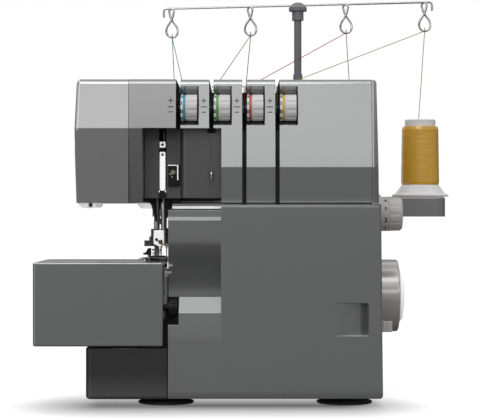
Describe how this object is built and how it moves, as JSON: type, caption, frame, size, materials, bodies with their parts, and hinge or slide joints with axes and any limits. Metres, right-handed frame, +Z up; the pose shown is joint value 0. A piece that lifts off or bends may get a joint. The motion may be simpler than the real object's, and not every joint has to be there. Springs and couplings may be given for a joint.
{
  "type": "overlock sewing machine",
  "caption": "Free-standing overlock sewing machine with tension dials, side handwheel, opening front cover, swing-out cloth plate and a rear cone stand with a telescopic guide pole.",
  "frame": {"origin": "middle of the footprint at the table, under the feet", "axes": "+X to the user's right along the arm, +Y to the back, +Z up"},
  "size_m": [0.4024, 0.263, 0.3935],
  "materials": {
    "body_paint": "satin metallic grey paint",
    "dark_paint": "matt dark grey",
    "rubber": "matt black",
    "cast": "as cast grey",
    "steel": "brushed",
    "chrome": "polished",
    "dial_grey": "satin light grey",
    "wheel_grey": "satin mid grey",
    "black_plastic": "satin black",
    "lens": "milky",
    "stand_plastic": "satin dark grey",
    "white_plastic": "satin white",
    "thread": "wound thread",
    "belt": "matt"
  },
  "bodies": {
    "machine": {"arm_front_cover": "body_paint", "arm_rear_cover": "body_paint", "base_pan": "body_paint", "bed_cover": "body_paint", "cloth_plate_bracket": "steel", "drive_belt": "belt", "face_cover": "body_paint", "knife_holder": "steel", "lamp_lens": "lens", "lower_knife": "steel", "main_frame": "cast", "motor": "cast", "needle_panel": "dark_paint", "needle_plate": "steel", "pins_and_bushes": "steel", "pole_lower_tube": "chrome", "power_inlet": "black_plastic", "rear_cover": "body_paint", "rubber_feet": "rubber", "screws": "chrome", "side_cover": "body_paint", "spool_pins": "white_plastic", "spool_stand": "stand_plastic", "tension_units": "chrome", "thread_hooks": "chrome", "threads": "thread"},
    "cover_slider": {"cover_hinge_rod": "steel"},
    "front_cover": {"front_cover": "body_paint"},
    "cloth_plate": {"cloth_plate": "body_paint"},
    "needle_bar": {"needle_bar": "steel", "needle_clamp": "chrome", "needles": "steel", "clamp_screws": "chrome", "take_up": "chrome"},
    "presser_bar": {"presser_bar": "steel", "foot_holder": "steel", "presser_foot": "chrome"},
    "foot_lifter": {"foot_lifter": "black_plastic"},
    "lower_looper": {"lower_looper": "steel"},
    "upper_looper": {"upper_looper": "steel"},
    "upper_knife": {"upper_knife": "black_plastic"},
    "feed_dogs": {"feed_dogs": "steel"},
    "cutting_width_knob": {"cutting_width_knob": "black_plastic"},
    "handwheel": {"handwheel": "wheel_grey", "main_shaft": "steel"},
    "motor_rotor": {"motor_pulley": "steel"},
    "stitch_length_dial": {"stitch_length_dial": "dial_grey"},
    "differential_lever": {"differential_lever": "dial_grey"},
    "power_switch": {"power_switch": "black_plastic"},
    "guide_pole": {"pole_upper_tube": "chrome", "pole_hub": "dial_grey", "guide_bar": "chrome"},
    "tension_dial_blue": {"tension_dial_blue": "dial_grey"},
    "thread_cone_blue": {"thread_cone_blue": "white_plastic"},
    "tension_dial_green": {"tension_dial_green": "dial_grey"},
    "thread_cone_green": {"thread_cone_green": "white_plastic"},
    "tension_dial_red": {"tension_dial_red": "dial_grey"},
    "thread_cone_red": {"thread_cone_red": "white_plastic"},
    "tension_dial_yellow": {"tension_dial_yellow": "dial_grey"},
    "thread_cone_yellow": {"thread_cone_yellow": "white_plastic"}
  },
  "joints": [
    {"name": "handwheel_spin", "type": "hinge", "parent": "machine", "child": "handwheel", "pos_m": [0.11657, -0.0085, 0.094], "axis": [1, 0, 0], "continuous": true},
    {"name": "motor_spin", "type": "hinge", "parent": "machine", "child": "motor_rotor", "pos_m": [0.09957, 0.0185, 0.054], "axis": [1, 0, 0], "continuous": true},
    {"name": "needle_bar_stroke", "type": "slide", "parent": "machine", "child": "needle_bar", "axis": [0, 0, 1], "range_m": [0, 0.022]},
    {"name": "lower_looper_swing", "type": "hinge", "parent": "machine", "child": "lower_looper", "pos_m": [-0.05242, -0.0535, 0.066], "axis": [0, 1, 0], "range_deg": [-8, 0]},
    {"name": "upper_looper_swing", "type": "hinge", "parent": "machine", "child": "upper_looper", "pos_m": [-0.03642, -0.0535, 0.096], "axis": [0, 1, 0], "range_deg": [0, 12]},
    {"name": "upper_knife_stroke", "type": "slide", "parent": "machine", "child": "upper_knife", "axis": [0, 0, 1], "range_m": [0, 0.006]},
    {"name": "feed_stroke", "type": "slide", "parent": "machine", "child": "feed_dogs", "axis": [0, 1, 0], "range_m": [-0.002, 0]},
    {"name": "presser_lift", "type": "slide", "parent": "machine", "child": "presser_bar", "axis": [0, 0, 1], "range_m": [0, 0.006]},
    {"name": "foot_lifter_turn", "type": "hinge", "parent": "machine", "child": "foot_lifter", "pos_m": [-0.09642, 0.0085, 0.2], "axis": [1, 0, 0], "range_deg": [0, 14]},
    {"name": "cover_side_slide", "type": "slide", "parent": "machine", "child": "cover_slider", "axis": [1, 0, 0], "range_m": [0, 0.008], "stiffness_N_per_m": 150},
    {"name": "cover_tilt", "type": "hinge", "parent": "cover_slider", "child": "front_cover", "pos_m": [0.01767, -0.1235, 0.014], "axis": [1, 0, 0], "range_deg": [0, 80]},
    {"name": "cloth_plate_swing", "type": "hinge", "parent": "machine", "child": "cloth_plate", "pos_m": [-0.14442, -0.0095, 0.1295], "axis": [0, 0, -1], "range_deg": [0, 90]},
    {"name": "cutting_width_turn", "type": "hinge", "parent": "machine", "child": "cutting_width_knob", "pos_m": [-0.07892, -0.1175, 0.0885], "axis": [1, 0, 0], "range_deg": [-150, 150]},
    {"name": "stitch_length_turn", "type": "hinge", "parent": "machine", "child": "stitch_length_dial", "pos_m": [0.11517, -0.0535, 0.173], "axis": [1, 0, 0], "range_deg": [-120, 120]},
    {"name": "differential_turn", "type": "hinge", "parent": "machine", "child": "differential_lever", "pos_m": [0.10408, -0.0355, 0.068], "axis": [1, 0, 0], "range_deg": [-18, 18]},
    {"name": "power_rocker", "type": "hinge", "parent": "machine", "child": "power_switch", "pos_m": [0.11457, 0.0325, 0.064], "axis": [0, 1, 0], "range_deg": [-8, 8]},
    {"name": "tension_turn_blue", "type": "hinge", "parent": "machine", "child": "tension_dial_blue", "pos_m": [-0.06283, -0.1055, 0.2706], "axis": [1, 0, 0], "range_deg": [-150, 150]},
    {"name": "tension_turn_green", "type": "hinge", "parent": "machine", "child": "tension_dial_green", "pos_m": [-0.03263, -0.1055, 0.2706], "axis": [1, 0, 0], "range_deg": [-150, 150]},
    {"name": "tension_turn_red", "type": "hinge", "parent": "machine", "child": "tension_dial_red", "pos_m": [-0.00243, -0.1055, 0.2706], "axis": [1, 0, 0], "range_deg": [-150, 150]},
    {"name": "tension_turn_yellow", "type": "hinge", "parent": "machine", "child": "tension_dial_yellow", "pos_m": [0.02778, -0.1055, 0.2706], "axis": [1, 0, 0], "range_deg": [-150, 150]},
    {"name": "pole_slide", "type": "slide", "parent": "machine", "child": "guide_pole", "axis": [0, 0, 1], "range_m": [-0.048, 0], "deforming": ["threads"]},
    {"name": "cone_spin_blue", "type": "hinge", "parent": "machine", "child": "thread_cone_blue", "pos_m": [-0.08132, 0.0965, 0.1909], "axis": [0, 0, 1], "continuous": true},
    {"name": "cone_spin_green", "type": "hinge", "parent": "machine", "child": "thread_cone_green", "pos_m": [-0.01153, 0.0965, 0.1909], "axis": [0, 0, 1], "continuous": true},
    {"name": "cone_spin_red", "type": "hinge", "parent": "machine", "child": "thread_cone_red", "pos_m": [0.10247, 0.0965, 0.1909], "axis": [0, 0, 1], "continuous": true},
    {"name": "cone_spin_yellow", "type": "hinge", "parent": "machine", "child": "thread_cone_yellow", "pos_m": [0.17228, 0.0965, 0.1909], "axis": [0, 0, 1], "continuous": true}
  ],
  "couplings": [
    {"joint": "motor_spin", "follows": "handwheel_spin", "ratio": 3.8571},
    {"joint": "lower_looper_swing", "follows": "needle_bar_stroke", "rad_per_m": -6.2673},
    {"joint": "upper_looper_swing", "follows": "needle_bar_stroke", "rad_per_m": 9.4406},
    {"joint": "upper_knife_stroke", "follows": "needle_bar_stroke", "ratio": 0.26818},
    {"joint": "feed_stroke", "follows": "needle_bar_stroke", "ratio": -0.08636},
    {"joint": "presser_lift", "follows": "foot_lifter_turn", "m_per_rad": 0.024146}
  ]
}
